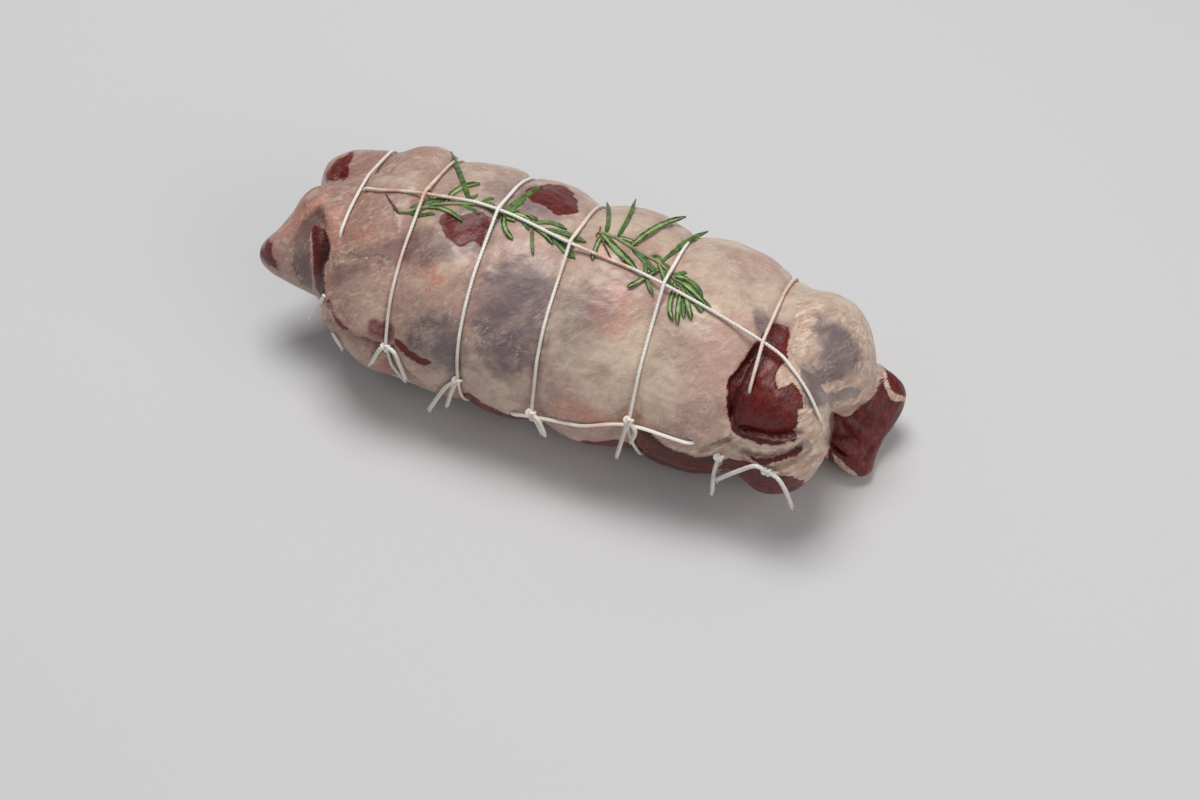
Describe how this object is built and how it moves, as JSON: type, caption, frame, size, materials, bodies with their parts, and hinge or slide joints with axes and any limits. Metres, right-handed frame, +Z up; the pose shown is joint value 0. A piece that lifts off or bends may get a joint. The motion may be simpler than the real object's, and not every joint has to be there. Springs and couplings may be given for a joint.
{
  "type": "raw rolled leg of lamb",
  "caption": "Raw boned leg of lamb, rolled and tied with white butcher's string, with rosemary sprigs tucked under the ties.",
  "frame": {"origin": "middle of the bounding box in plan, at the surface the meat rests on", "axes": "+X along the roll towards the rump end with the red cut muscle, +Z up, the knots face -Y"},
  "size_m": [0.3118, 0.1258, 0.1103],
  "materials": {
    "meat": "moist raw lamb: pale pink-beige membrane over purple-grey and dark red muscle, cream fat",
    "string": "twisted white cotton string, faintly stained pink where it lies on the meat",
    "rosemary": "dark green needle leaves, pale underneath, on a brown-green woody stem"
  },
  "bodies": {
    "root": {"meat": "meat", "rosemary_sprig_1": "rosemary", "rosemary_sprig_2": "rosemary", "string_long": "string", "string_loop_1": "string", "string_loop_2": "string", "string_loop_3": "string", "string_loop_4": "string", "string_loop_5": "string", "string_loop_6": "string"}
  },
  "joints": []
}
